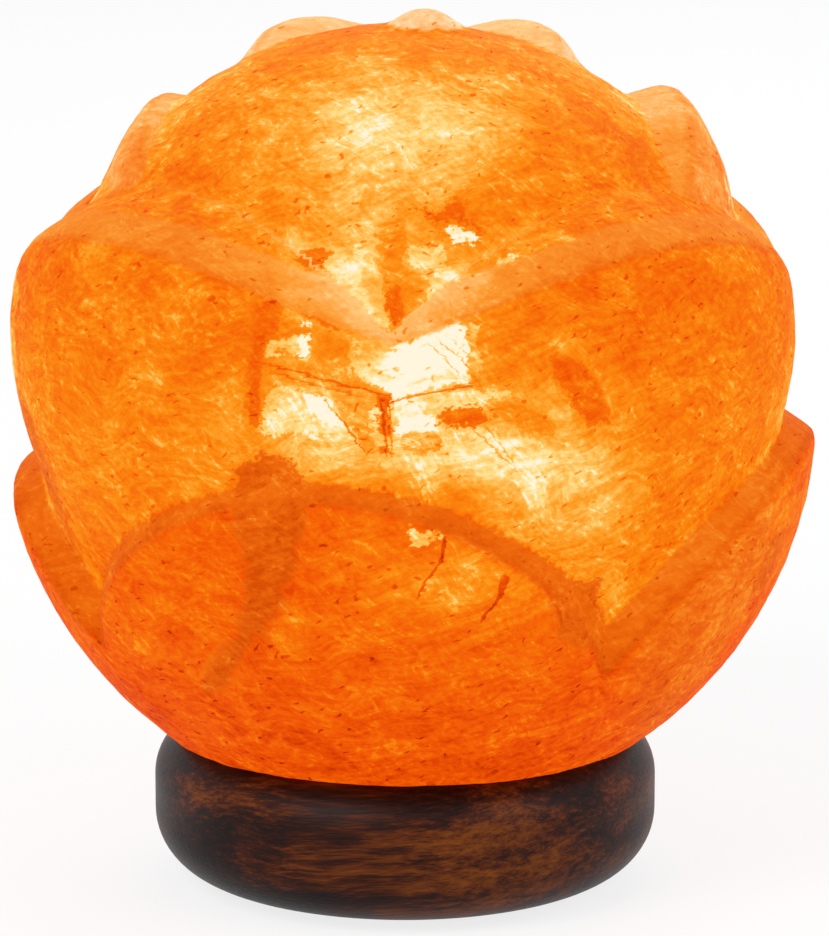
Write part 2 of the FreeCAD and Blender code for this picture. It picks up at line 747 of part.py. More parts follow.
def bulb_cap():
    """Screw cap of the bulb, with rolled crests and a collar for the glass."""
    wall = tube("thread_radius", "thread_radius - cap_shell", THREAD_HEIGHT, THREAD_BOTTOM, "cap_wall_tube")
    crests = [primitive("Torus", f"crest_{number}",
                        ("0", "0", f"{THREAD_BOTTOM} + thread_pitch * {number + 0.5}"),
                        Radius1="thread_radius", Radius2="thread_crest")
              for number in range(int(SIZES["thread_count"]))]
    collar = cut("collar", frustum("thread_radius", "collar_radius", "collar_height", THREAD_TOP,
                                   "collar_outside"),
                 frustum("thread_radius - cap_shell", "collar_radius - cap_shell", "collar_height",
                         THREAD_TOP, "collar_inside"))
    bore = upright("thread_radius - cap_shell", THREAD_HEIGHT, THREAD_BOTTOM, "cap_bore")
    node(fuse("cap_shell", [cut("cap_thread", fuse("cap_rolled", [wall] + crests), bore), collar]),
         "bulb_cap")


def pear(label, inset):
    """The bulb's envelope as a solid, shrunk by an inset."""
    height = f"({GLASS_CENTRE} - shoulder_drop - {GLASS_BOTTOM})"
    neck = frustum(f"neck_radius - ({inset})", f"shoulder_radius - ({inset})", height, GLASS_BOTTOM,
                   f"{label}_neck")
    globe = ball(f"glass_radius - ({inset})", ("0", "0", GLASS_CENTRE), f"{label}_globe")
    return fuse(label, [neck, globe])


def bulb_glass():
    """Clear pear-shaped envelope."""
    node(cut("envelope", pear("envelope_outside", "0"), pear("envelope_inside", "glass_thickness")),
         "bulb_glass")


def bulb_inside():
    """Glass stem, lead wires and filament."""
    foot = upright("neck_radius - glass_thickness - fit_clearance", "stem_foot_height", GLASS_BOTTOM,
                   "stem_foot")
    pinch = upright("stem_radius", "stem_height", GLASS_BOTTOM, "stem_pinch")
    node(fuse("stem", [foot, pinch]), "bulb_stem")
    stem_top = f"({GLASS_BOTTOM} + stem_height)"
    wire_rise = "(filament_height - filament_thickness - 2 * wire_foot_gap)"
    wire_reach = "(filament_radius - wire_foot_out)"
    wires = []
    for side, sign in (("left", "-1"), ("right", "1")):
        wire = primitive("Cylinder", f"wire_{side}",
                         (f"{sign} * wire_foot_out", "0", f"{stem_top} + wire_foot_gap"),
                         f"{sign} * atan({wire_reach} / {wire_rise})", Radius="wire_radius",
                         Height=f"sqrt({wire_reach} ^ 2 + {wire_rise} ^ 2)")
        wire.Placement.Rotation.Axis = FreeCAD.Vector(0, 1, 0)
        wires.append(wire)
    node(group("wires", wires), "lead_wires")
    node(primitive("Torus", "filament_ring", ("0", "0", f"{stem_top} + filament_height"),
                   Radius1="filament_radius", Radius2="filament_thickness",
                   Angle3="filament_angle"), "filament")


# ---------------------------------------------------------------- build and write
def write_parts():
    """Check every object and write each sub-part's solids to its own file."""
    DOC.recompute()
    for item in DOC.Objects:
        if {"Invalid", "Error"} & set(item.State):
            raise RuntimeError(f"{item.Label} failed: {item.State}")
    os.makedirs("parts", exist_ok=True)
    for item in NODES:
        shape = item.Shape
        if shape.isNull() or not shape.isValid() or not shape.Solids:
            raise RuntimeError(f"{item.Label} has no valid solid")
        shape.exportStep(f"parts/{item.Label}.step")
        print(f"{item.Label}: {len(shape.Solids)} solids, {shape.Volume:.1f} mm3")


def build():
    """Make every sub-part, from the floor up."""
    fill_sheet()
    foot_pads()
    wood_base()
    fixing_screws()
    salt_block()
    holder_cap()
    inlet_bush()
    holder_body()
    thread_sleeve()
    centre_contact()
    terminals()
    spring_clip()
    bulb_button()
    bulb_insulator()
    bulb_cap()
    bulb_glass()
    bulb_inside()
    write_parts()


build()
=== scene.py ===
"""Looks of a salt crystal lamp: a ball of rock salt carved as a lotus, lit from inside.

Everything is in metres in the part's own frame: z = 0 is the table, the front is -Y, +X is right.
Azimuths are in degrees from the front, growing towards +X, as in the part's source.
"""
import math

import bmesh
import bpy
import numpy as np
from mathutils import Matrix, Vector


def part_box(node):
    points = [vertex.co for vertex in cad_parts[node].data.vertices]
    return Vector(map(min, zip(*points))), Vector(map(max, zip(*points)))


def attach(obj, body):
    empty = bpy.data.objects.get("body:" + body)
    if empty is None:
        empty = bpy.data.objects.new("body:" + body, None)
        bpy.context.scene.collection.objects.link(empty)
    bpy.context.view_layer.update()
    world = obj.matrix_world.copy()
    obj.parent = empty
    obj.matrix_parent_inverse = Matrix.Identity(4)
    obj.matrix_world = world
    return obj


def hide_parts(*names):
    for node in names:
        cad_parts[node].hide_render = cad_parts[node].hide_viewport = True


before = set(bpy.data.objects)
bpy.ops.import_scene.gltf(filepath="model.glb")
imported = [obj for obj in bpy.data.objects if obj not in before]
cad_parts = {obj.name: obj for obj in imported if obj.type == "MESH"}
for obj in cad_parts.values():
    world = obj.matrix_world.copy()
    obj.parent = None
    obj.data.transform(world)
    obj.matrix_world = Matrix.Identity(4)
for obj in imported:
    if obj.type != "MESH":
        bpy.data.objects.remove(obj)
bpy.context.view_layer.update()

import openvdb
from mathutils import Vector

MM = 0.001
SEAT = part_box("salt_block")[0].z / MM  # height of the salt's flat underside
CENTRE = SEAT + 65.5  # height of the ball's centre
VIEW_TILT = math.radians(13)  # how far above the level the photograph was taken from
VIEW_DISTANCE = 1200


# ---------------------------------------------------------------- camera
def make_camera():
    """A long lens at the height and distance that the photograph was taken from."""
    aim = Vector((0.0019, 0, (CENTRE - 13) * MM))
    data = bpy.data.cameras.new("camera")
    data.lens = 230.8
    data.clip_start = 0.05
    camera = bpy.data.objects.new("camera", data)
    bpy.context.scene.collection.objects.link(camera)
    back = Vector((0, -math.cos(VIEW_TILT), math.sin(VIEW_TILT)))
    camera.location = aim + back * VIEW_DISTANCE * MM
    camera.rotation_euler = (-back).to_track_quat("-Z", "Y").to_euler()
    bpy.context.scene.camera = camera


# ---------------------------------------------------------------- node graphs
class Wire:
    """A value in a node tree, with arithmetic that adds math nodes."""

    def __init__(self, graph, socket):
        self.graph = graph
        self.socket = socket

    def __add__(self, other):
        return self.graph.math("ADD", self, other)

    def __sub__(self, other):
        return self.graph.math("SUBTRACT", self, other)

    def __rsub__(self, other):
        return self.graph.math("SUBTRACT", other, self)

    def __mul__(self, other):
        return self.graph.math("MULTIPLY", self, other)

    __radd__ = __add__
    __rmul__ = __mul__


class Graph:
    """Short ways to add nodes to one material or world."""

    def __init__(self, owner):
        owner.use_nodes = True
        self.owner = owner
        self.tree = owner.node_tree
        self.shader = self.tree.nodes.get("Principled BSDF")

    def put(self, socket, value):
        """Link a wire to a socket, or set a plain value on it."""
        if isinstance(value, Wire):
            self.tree.links.new(value.socket, socket)
        else:
            socket.default_value = value

    def node(self, kind, **settings):
        item = self.tree.nodes.new(f"ShaderNode{kind}")
        for name, value in settings.items():
            setattr(item, name, value)
        return item

    def math(self, operation, *values):
        item = self.node("Math", operation=operation)
        for socket, value in zip(item.inputs, values):
            self.put(socket, value)
        return Wire(self, item.outputs[0])

    def vector(self, operation, *values):
        item = self.node("VectorMath", operation=operation)
        for socket, value in zip(item.inputs, values):
            self.put(socket, value)
        return Wire(self, item.outputs["Value" if operation in ("LENGTH", "DOT_PRODUCT") else "Vector"])

    def attribute(self, name):
        return Wire(self, self.node("Attribute", attribute_name=name).outputs["Fac"])

    def part(self, vector, axis):
        """One of a vector's three numbers."""
        item = self.node("SeparateXYZ")
        self.put(item.inputs[0], vector)
        return Wire(self, item.outputs[axis])

    def place(self):
        """Coordinates in the part's frame, in millimetres."""
        item = self.node("VectorMath", operation="SCALE")
        self.tree.links.new(self.node("TexCoord").outputs["Object"], item.inputs["Vector"])
        item.inputs["Scale"].default_value = 1000
        return Wire(self, item.outputs["Vector"])

    def turned(self, vector, turn, scale=(1, 1, 1)):
        """Coordinates turned by angles in degrees, then scaled."""
        for setting, value in (("Rotation", [math.radians(angle) for angle in turn]), ("Scale", scale)):
            item = self.node("Mapping", vector_type="POINT")
            self.put(item.inputs["Vector"], vector)
            item.inputs[setting].default_value = value
            vector = Wire(self, item.outputs[0])
        return vector

    def noise(self, vector, scale, detail=3.0, rough=0.5, colour=False):
        item = self.node("TexNoise")
        self.put(item.inputs["Vector"], vector)
        for name, value in (("Scale", scale), ("Detail", detail), ("Roughness", rough)):
            item.inputs[name].default_value = value
        return Wire(self, item.outputs["Color" if colour else "Fac"])

    def cells(self, vector, scale):
        """Distance to the nearest of many scattered points, and that point's own colour."""
        item = self.node("TexVoronoi")
        self.put(item.inputs["Vector"], vector)
        item.inputs["Scale"].default_value = scale
        return Wire(self, item.outputs["Distance"]), Wire(self, item.outputs["Color"])

    def step(self, value, low, high):
        """0 below low, 1 above high; turned round where low is the higher one."""
        item = self.node("MapRange", interpolation_type="SMOOTHSTEP")
        self.put(item.inputs["Value"], value)
        item.inputs["From Min"].default_value = low
        item.inputs["From Max"].default_value = high
        return Wire(self, item.outputs["Result"])

    def ramp(self, value, stops):
        """A colour for each value; stops are (position, sRGB colour in 0..255)."""
        item = self.node("ValToRGB")
        self.put(item.inputs["Fac"], value)
        bar = item.color_ramp.elements
        bar.remove(bar[1])
        bar[0].position, bar[0].color = stops[0][0], linear(stops[0][1])
        for position, colour in stops[1:]:
            bar.new(position).color = linear(colour)
        return Wire(self, item.outputs["Color"])

    def blend(self, share, low, high):
        """Mix two colours."""
        item = self.node("Mix", data_type="RGBA")
        for name, value in (("Factor_Float", share), ("A_Color", low), ("B_Color", high)):
            socket = next(s for s in item.inputs if s.identifier == name)
            self.put(socket, linear(value) if isinstance(value, tuple) else value)
        return Wire(self, next(s for s in item.outputs if s.identifier == "Result_Color"))

    def dash(self, vector, start, end, width):
        """1 on a fine spindle between two points, 0 away from it."""
        (x0, y0), (x1, y1) = start, end
        item = self.node("Mapping", vector_type="TEXTURE")
        self.put(item.inputs["Vector"], vector)
        item.inputs["Location"].default_value = ((x0 + x1) / 2, (y0 + y1) / 2, 0)
        item.inputs["Rotation"].default_value = (0, 0, math.atan2(y1 - y0, x1 - x0))
        item.inputs["Scale"].default_value = (math.hypot(x1 - x0, y1 - y0) / 2, width, 1)
        return 1 - self.step(self.vector("LENGTH", Wire(self, item.outputs[0])), 0.8, 1.15)

    def bump(self, height, distance, strength):
        item = self.node("Bump")
        self.put(item.inputs["Height"], height)
        item.inputs["Distance"].default_value = distance
        item.inputs["Strength"].default_value = strength
        self.put(self.shader.inputs["Normal"], Wire(self, item.outputs["Normal"]))

    def shaken(self, vector, scale, reach):
        """Coordinates pushed about by noise, so that straight patterns run crooked."""
        push = self.vector("SUBTRACT", self.noise(vector, scale, 2, colour=True), (0.5, 0.5, 0.5))
        return self.vector("ADD", vector, self.vector("MULTIPLY", push, (reach, reach, reach)))

    def seen_rays(self):
        """1 for rays that show the surroundings as they are: straight, in gloss or through glass."""
        path = self.node("LightPath")
        rays = [Wire(self, path.outputs[f"Is {kind} Ray"]) for kind in ("Camera", "Glossy", "Transmission")]
        return self.math("MAXIMUM", self.math("MAXIMUM", rays[0], rays[1]), rays[2])

    def set(self, **values):
        """Set the shader's own sockets; words are joined by _ in place of a space."""
        for name, value in values.items():
            self.put(self.shader.inputs[name.replace("_", " ")],
                     linear(value) if isinstance(value, tuple) else value)


def linear(colour):
    """An sRGB colour in 0..255 as a linear one with alpha."""
    part = [c / 255 for c in colour]
    return [c / 12.92 if c < 0.04045 else ((c + 0.055) / 1.055) ** 2.4 for c in part] + [1]


# ---------------------------------------------------------------- solid shapes as distance fields
def local(points, azimuth, out, height):
    """Coordinates about a point: outward, tangential and up, in millimetres."""
    turn = math.radians(azimuth)
    outward = np.array([math.sin(turn), -math.cos(turn), 0], np.float32)
    along = np.array([math.cos(turn), math.sin(turn), 0], np.float32)
    return points @ outward - out, points @ along, points[:, 2] - height


def egg(points, azimuth, out, height, depth, width, rise):
    """Distance to an ellipsoid that stands on an azimuth."""
    r, t, z = local(points, azimuth, out, height)
    near = np.sqrt((r / depth) ** 2 + (t / width) ** 2 + (z / rise) ** 2)
    slope = np.sqrt((r / depth ** 2) ** 2 + (t / width ** 2) ** 2 + (z / rise ** 2) ** 2) + 1e-6
    return near * (near - 1) / slope


def ball(points, azimuth, out, height, radius):
    """Distance to a sphere."""
    r, t, z = local(points, azimuth, out, height)
    return np.sqrt(r * r + t * t + z * z) - radius


def join(a, b, soft):
    """Union of two shapes with a rounded valley between them."""
    share = np.clip(0.5 + 0.5 * (b - a) / soft, 0, 1)
    return b + (a - b) * share - soft * share * (1 - share)


def meet(a, b, soft):
    """What two shapes share, with a rounded edge."""
    return -join(-a, -b, soft)


# ---------------------------------------------------------------- carved salt
# A petal is a bulging face, an egg, that a second ball trims to its bevelled rim.
# azimuth of the rim's ball, how far out and how far below the centre it lies, its radius
LOWEST = ((-12, 47, 38, 50), (81, 50, 46, 53), (170, 47, 41, 50), (-101, 47, 53, 50))
# face: lift, depth, width, rise; rim: out, drop, radius
FRONT_MIDDLE = (20, 49.5, 59, 49, 39, 18.5, 71.5)
HIND_MIDDLE = (18, 48, 56.5, 47.5, 37.5, 20.5, 69.5)
# azimuth; face: out, lift, rise; rim: out, lift
UPPER = ((98, 33, 33.5, 40, 63, 3.5), (180, 30, 35, 40, 60, 5), (-98, 28.5, 33, 38.5, 60, 2.5))
LOWEST_TIER, MIDDLE_TIER, DOME_TIER, UPPER_TIER, CROWN_TIER, CORE_TIER = range(6)
EDGE = 2.4  # roundness of a petal's edge
VALLEY = 1.8  # roundness of the valley in front of it
SHEET_SCALE = 5  # steps of sheet_coordinates to the millimetre
SHEET_CENTRE = 405  # where they put the ball's centre
# how strongly the patches, lines and bright spots show by the front, right, rear and left notches
WINDOW_STRENGTH = np.array([1.0, 0.5, 0.8, 0.5])
FRONT_FACE = 510  # bright spots below this place on the sheet lie on the lowest petals' faces
# soft bright spots by each notch: place across and down, reach across and down, amount
GLOWS = ((385, 392, 118, 58, 0.43), (405, 135, 140, 76, 0.41), (375, 268, 100, 55, 0.32), (540, 455, 90, 60, 0.19),
         (600, 540, 45, 90, 0.14), (470, 580, 95, 40, 0.20), (90, 450, 40, 60, 0.10), (170, 400, 60, 70, 0.05),
         (410, 466, 160, 24, 0.24), (225, 340, 40, 75, -0.13), (258, 550, 38, 70, -0.09), (650, 300, 60, 60, -0.05),
         (560, 180, 70, 50, -0.07), (540, 508, 50, 45, 0.16), (230, 430, 40, 40, 0.08))


def petals(points):
    """Yields (tier, face distance, rim distance, edge softness, valley softness) for each petal."""
    for number in range(4):
        azimuth = -47 + 90 * number
        lift, depth, width, rise, rim_out, rim_drop, rim_size = FRONT_MIDDLE if number < 2 else HIND_MIDDLE
        bulge = egg(points, azimuth, 31.8, CENTRE + lift, depth, width, rise)
        foot = egg(points, azimuth, 31.8, CENTRE + 4, 43.5, 52.5, 60)
        rim = ball(points, azimuth, rim_out, CENTRE - rim_drop, rim_size)
        yield MIDDLE_TIER, join(bulge, foot, 12), rim, EDGE, VALLEY
    face = egg(points, 4, 2, CENTRE + 2.5, 76, 73.8, 74)
    yield DOME_TIER, face, ball(points, 4, 30, CENTRE + 15, 76), EDGE, VALLEY
    for azimuth, out, lift, rise, rim_out, rim_lift in UPPER:
        face = egg(points, azimuth, out, CENTRE + lift, 32.5, 50, rise)
        yield UPPER_TIER, face, ball(points, azimuth, rim_out, CENTRE + rim_lift, 60), EDGE, VALLEY - 0.2
    for azimuth in (130, 220):
        face = egg(points, azimuth, 8, CENTRE + 40, 39, 30, 46)
        yield CROWN_TIER, face, ball(points, azimuth, 38, CENTRE + 25, 50), EDGE, VALLEY - 0.2
    blank = ball(points, 90, 0.7, CENTRE, 81.5)
    for azimuth, out, drop, size in LOWEST:
        yield LOWEST_TIER, blank, ball(points, azimuth, out, CENTRE - drop, size), 1.8, 1.0


def carved(points):
    """Distance to the carved ball, with the tier that shows, how far onto its bevelled rim each point
    lies, and how far from the next petal."""
    solid = ball(points, 0, 0, CENTRE - 2.5, 73.2)
    second = np.full_like(solid, 50)
    nearest = solid.copy()
    tier = np.full_like(solid, CORE_TIER)
    rim_depth = np.full_like(solid, -20)
    for number, face, rim, edge, valley in petals(points):
        petal = meet(face, rim, edge)
        second = np.minimum(second, np.maximum(nearest, petal))
        shows = petal < nearest
        nearest = np.minimum(nearest, petal)
        tier[shows] = number
        rim_depth = np.where(shows, rim - face, rim_depth)
        solid = join(solid, petal, valley)
    bud = egg(points, 90, 4, CENTRE + 49.8, 15, 15, 30)
    tier[bud < nearest] = CROWN_TIER
    return join(solid, bud, 3), tier, rim_depth, second - nearest


def unevenness(points):
    """How far the tool went below the drawn shape, in millimetres: never above it."""
    x, y, z = points.T
    waves = (np.sin(0.31 * x + 1.7 * np.sin(0.11 * z)) * np.sin(0.27 * y + 0.9) * np.sin(0.24 * z + 0.4)
             + 0.6 * np.sin(0.62 * x + 0.35 * z) * np.sin(0.55 * y - 0.5 * z + 1.1)
             + 0.4 * np.sin(1.1 * z + 0.5 * x) * np.sin(0.9 * x - 0.8 * y))
    return 0.16 * (waves + 2)


def hollow(points):
    """Distance to the bore for the bulb, negative inside the bore."""
    rho = np.hypot(points[:, 0], points[:, 1])
    above = np.maximum(points[:, 2] - (SEAT + 70), 0)
    return np.hypot(rho, above) - 23


def salt_mesh():
    """The ball's surface as a quad mesh, from a grid of distances; also gives its corners in millimetres."""
    step = 1.2
    low = np.array([-87, -87, SEAT - 5], np.float32)
    count = np.ceil(np.array([174, 174, 157]) / step).astype(int) + 1
    axes = [low[k] + step * np.arange(count[k], dtype=np.float32) for k in range(3)]
    points = np.stack([g.ravel() for g in np.meshgrid(*axes, indexing="ij")], 1)
    outside = 4.0
    field = np.full(len(points), outside, np.float32)
    reach = np.sqrt((points[:, :2] ** 2).sum(1) + (points[:, 2] - CENTRE) ** 2)
    bore = hollow(points)
    near = (reach < 90) & (points[:, 2] > SEAT - 3)
    # deep inside the salt the distance is not worked out
    core = near & (reach < 62) & (bore > outside) & (points[:, 2] > SEAT + outside)
    field[core] = -outside
    near &= ~core
    solid = carved(points[near])[0] + unevenness(points[near]) - 0.1
    solid = np.maximum(solid, SEAT - points[near, 2])
    field[near] = np.clip(np.maximum(solid, -bore[near]), -outside, outside)
    grid = openvdb.FloatGrid(outside)
    grid.copyFromArray(field.reshape(count))
    corners, _, quads = grid.convertToPolygons(0.0, 0.0)
    corners = (corners * step + low).astype(np.float32)
    mesh = bpy.data.meshes.new("salt_ball")
    mesh.vertices.add(len(corners))
    mesh.vertices.foreach_set("co", (corners * MM).ravel())
    mesh.loops.add(quads.size)
    mesh.loops.foreach_set("vertex_index", quads[:, ::-1].astype(np.int32).ravel())
    mesh.polygons.add(len(quads))
    mesh.polygons.foreach_set("loop_start", np.arange(0, quads.size, 4, dtype=np.int32))
    mesh.update(calc_edges=True)
    mesh.validate()
    mesh.shade_smooth()
    return mesh, corners


def smooth(value, low, high):
    """0 below low, 1 above high, with a soft step between."""
    share = np.clip((value - low) / (high - low), 0, 1)
    return share * share * (3 - 2 * share)


def sheet_coordinates(points):
    """For each point its notch's number and its place across and down, as seen square on to the notch.

    Places count from the upper left. The right and left notches are mirrored.
    """
    azimuth = np.degrees(np.arctan2(points[:, 0], -points[:, 1]))
    sector = np.zeros(len(points), int)
    sector[(azimuth > 62) & (azimuth <= 118)] = 1
    sector[np.abs(azimuth) > 118] = 2
    sector[(azimuth < -62) & (azimuth >= -118)] = 3
    across = np.zeros(len(points))
    down = np.zeros(len(points))
    level, above = math.cos(VIEW_TILT), math.sin(VIEW_TILT)
    for number in range(4):
        mine = sector == number
        outward, along, rise = local(points[mine], 90 * number, 0, CENTRE)
        scale = SHEET_SCALE * VIEW_DISTANCE / (VIEW_DISTANCE - outward * level - rise * above)
        across[mine] = SHEET_CENTRE + scale * along * (1, -1, 1, -1)[number]
        down[mine] = SHEET_CENTRE - scale * (rise * level - outward * above)
    return sector, across, down


def inside(outline, across, down):
    """How deep each place lies inside an outline, in millimetres; negative outside it."""
    corners = np.array(outline, float)
    near = np.full(len(across), 1e9)
    within = np.zeros(len(across), bool)
    for (x0, y0), (x1, y1) in zip(corners, np.roll(corners, -1, 0)):
        dx, dy = x1 - x0, y1 - y0
        share = np.clip(((across - x0) * dx + (down - y0) * dy) / (dx * dx + dy * dy), 0, 1)
        near = np.minimum(near, np.hypot(across - x0 - share * dx, down - y0 - share * dy))
        if y0 != y1:
            within ^= ((down < y0) != (down < y1)) & (across < x0 + (down - y0) / dy * dx)
    return np.where(within, near, -near) / SHEET_SCALE


def on_side_petal(tier, across):
    """1 on the parts of the lowest petals that a notch's view shows at its left and right, 0 elsewhere."""
    return (tier == LOWEST_TIER) * smooth(np.abs(across - 360), 250, 300)


def glow(points, tier, rim_depth, valley):
    """How brightly the light from inside shows at each point, from 0 (deep red-orange) to 1 (near white)."""
    sector, across, down = sheet_coordinates(points)
    strength = WINDOW_STRENGTH[sector]
    height = points[:, 2] - CENTRE
    lowest_rim = (tier == LOWEST_TIER) * smooth(rim_depth, -0.4, 0.6)
    heat = 0.22 + 0.13 * smooth(height, -66, -18) - 0.06 * lowest_rim + 0.05 * on_side_petal(tier, across)
    for number, more in ((MIDDLE_TIER, 0.11), (DOME_TIER, 0.10), (UPPER_TIER, 0.13), (CROWN_TIER, 0.42),
                         (CORE_TIER, 0.16)):
        heat += more * (tier == number)
    takes_upper = (tier != CROWN_TIER) & (tier != LOWEST_TIER)
    takes_lower = (tier != CROWN_TIER) * (1 - lowest_rim)
    for x, y, wide, high, amount in GLOWS:
        spot = np.exp(-((across - x) / wide) ** 2 - ((down - y) / high) ** 2)
        heat += amount * strength * spot * (takes_upper if y < FRONT_FACE else takes_lower)
    groove = (np.exp(-(valley / 1.3) ** 2) * (tier == DOME_TIER)
              + 0.4 * np.exp(-(valley / 1.6) ** 2) * (tier == MIDDLE_TIER))
    by_notch = np.exp(-((across - 395) / 170) ** 2) * smooth(height, -5, 15)
    return heat + 0.2 * groove * strength * by_notch


def add_values(mesh, name, values):
    """Keep one number per vertex on the mesh for its material."""
    mesh.attributes.new(name, "FLOAT", "POINT").data.foreach_set("value", values.astype(np.float32))


def salt_ball():
    """The carved ball with its bore."""
    mesh, corners = salt_mesh()
    piece = bpy.data.objects.new("salt_ball", mesh)
    bpy.context.scene.collection.objects.link(piece)
    _, tier, rim_depth, valley = carved(corners)
    sector, across, down = sheet_coordinates(corners)
    add_values(mesh, "warmth", glow(corners, tier, rim_depth, valley))
    # the upper petals' rims show as narrower bands
    narrower = np.where(tier == DOME_TIER, 1.6, np.where(tier == MIDDLE_TIER, 1.9, 1))
    add_values(mesh, "rim", np.clip(rim_depth * narrower, -8, 12))
    add_values(mesh, "pale", smooth(tier, 2.2, 3.8) * (tier < CORE_TIER - 0.5))
    add_values(mesh, "hazy", 0.6 * on_side_petal(tier, across))
    add_values(mesh, "window", WINDOW_STRENGTH[sector])
    add_values(mesh, "across", across)
    add_values(mesh, "down", down)
    for name, outlines in PATCHES.items():
        depth = np.max([inside(outline, across, down) for outline in outlines], 0)
        add_values(mesh, name, np.clip(depth, -6, 6))
    mesh.materials.append(salt_material())
    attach(piece, "lamp")
    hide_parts("salt_block")


GLOW_STOPS = ((0.0, (176, 44, 0)), (0.14, (226, 70, 0)), (0.28, (242, 92, 3)), (0.42, (247, 118, 8)),
              (0.55, (251, 143, 16)), (0.66, (252, 168, 46)), (0.78, (253, 200, 96)),
              (0.89, (254, 230, 148)), (1.0, (255, 251, 226)))

# Crystal patches by each notch, outlined on the sheet of sheet_coordinates
PATCHES = {
    "cream": (
        ((265, 402), (275, 391), (300, 393), (326, 402), (338, 418), (349, 442), (302, 434), (260, 436)),
        ((425, 404), (450, 396), (488, 394), (512, 402), (492, 410), (455, 417), (428, 414)),
        ((455, 434), (480, 430), (500, 438), (522, 462), (505, 472), (478, 452)),
        ((402, 250), (425, 246), (446, 256), (452, 280), (434, 274), (405, 270)),
        ((316, 288), (345, 264), (360, 248), (361, 290), (388, 338), (372, 338), (335, 308)),
        ((411, 344), (430, 318), (470, 292), (503, 262), (512, 264), (482, 300), (447, 328), (425, 346)),
        ((266, 345), (300, 340), (310, 362), (268, 362)), ((350, 340), (366, 346), (364, 366), (352, 362)),
        ((356, 398), (372, 400), (378, 428), (366, 424)), ((412, 535), (440, 538), (436, 552), (414, 554))),
    "white": (
        ((392, 350), (426, 345), (430, 396), (394, 403)),
        ((428, 346), (442, 337), (472, 337), (473, 387), (456, 391), (430, 395)),
        ((396, 414), (424, 408), (433, 426), (437, 441), (396, 441)),
        ((444, 232), (452, 228), (470, 236), (479, 245), (476, 252), (455, 247)),
        ((305, 330), (313, 330), (312, 345), (306, 364), (299, 364), (303, 346)),
        ((314, 384), (328, 384), (330, 394), (318, 395)), ((312, 402), (328, 404), (334, 424), (318, 420))),
    "orange": (
        ((380, 232), (402, 218), (412, 246), (402, 270), (424, 284), (426, 310), (405, 338), (390, 346), (385, 292)),
        ((315, 337), (330, 336), (352, 345), (352, 372), (335, 374), (316, 362)),
        ((262, 364), (300, 368), (330, 379), (365, 385), (391, 402), (390, 409), (360, 404), (325, 394), (264, 380)),
        ((473, 325), (495, 312), (518, 322), (530, 350), (524, 384), (480, 392), (474, 388)),
        ((340, 404), (352, 404), (372, 436), (380, 460), (366, 458)), ((402, 443), (438, 441), (440, 452), (408, 454)),
        ((575, 122), (598, 145), (606, 175), (560, 205), (520, 215), (486, 240), (470, 226), (452, 205), (520, 160)),
        ((488, 410), (510, 405), (548, 418), (556, 444), (535, 436), (505, 424))),
    "brown": (
        ((400, 213), (412, 209), (440, 214), (456, 206), (470, 220), (484, 236), (466, 230), (444, 228), (440, 244),
         (430, 232), (418, 217)),
        ((296, 262), (316, 249), (332, 256), (328, 275), (308, 275)),
        ((297, 306), (312, 305), (343, 331), (333, 335), (310, 320)),
        ((262, 272), (279, 285), (281, 335), (271, 342), (262, 360), (264, 390), (258, 430), (250, 430), (252, 350)),
        ((440, 418), (470, 414), (494, 424), (480, 429), (455, 433), (442, 428)),
        ((552, 364), (575, 362), (592, 385), (608, 425), (590, 430), (570, 405), (556, 385)),
        ((552, 272), (580, 266), (592, 275), (597, 306), (575, 300), (556, 292)),
        ((382, 404), (391, 404), (391, 462), (384, 463)), ((386, 300), (400, 292), (404, 320), (390, 330))),
    "matte": (
        ((238, 498), (301, 486), (305, 530), (294, 575), (276, 617), (257, 645), (226, 682), (200, 706), (214, 672),
         (236, 640), (248, 600), (246, 560), (234, 530)),
        ((236, 470), (262, 455), (284, 466), (302, 490), (238, 502)),
        ((550, 590), (596, 585), (600, 655), (560, 640))),
}

# Fine darker lines by each notch: from, to, half width in millimetres, strength
CRACKS = (
    ((263, 368), (392, 402), 0.3, 0.7), ((266, 376), (372, 404), 0.2, 0.5), ((328, 402), (366, 460), 0.28, 0.8),
    ((383, 400), (386, 464), 0.3, 0.6), ((389, 404), (391, 460), 0.25, 0.5), ((390, 407), (432, 396), 0.3, 0.9),
    ((426, 398), (476, 389), 0.25, 0.8), ((428, 345), (470, 388), 0.18, 0.6), ((436, 341), (473, 374), 0.18, 0.6),
    ((446, 338), (473, 362), 0.15, 0.5), ((470, 430), (520, 478), 0.25, 0.5), ((484, 428), (516, 470), 0.2, 0.5),
    ((446, 541), (438, 572), 0.5, 0.8), ((439, 568), (419, 603), 0.35, 0.8), ((507, 577), (496, 606), 0.7, 0.8),
    ((497, 602), (481, 626), 0.4, 0.8))


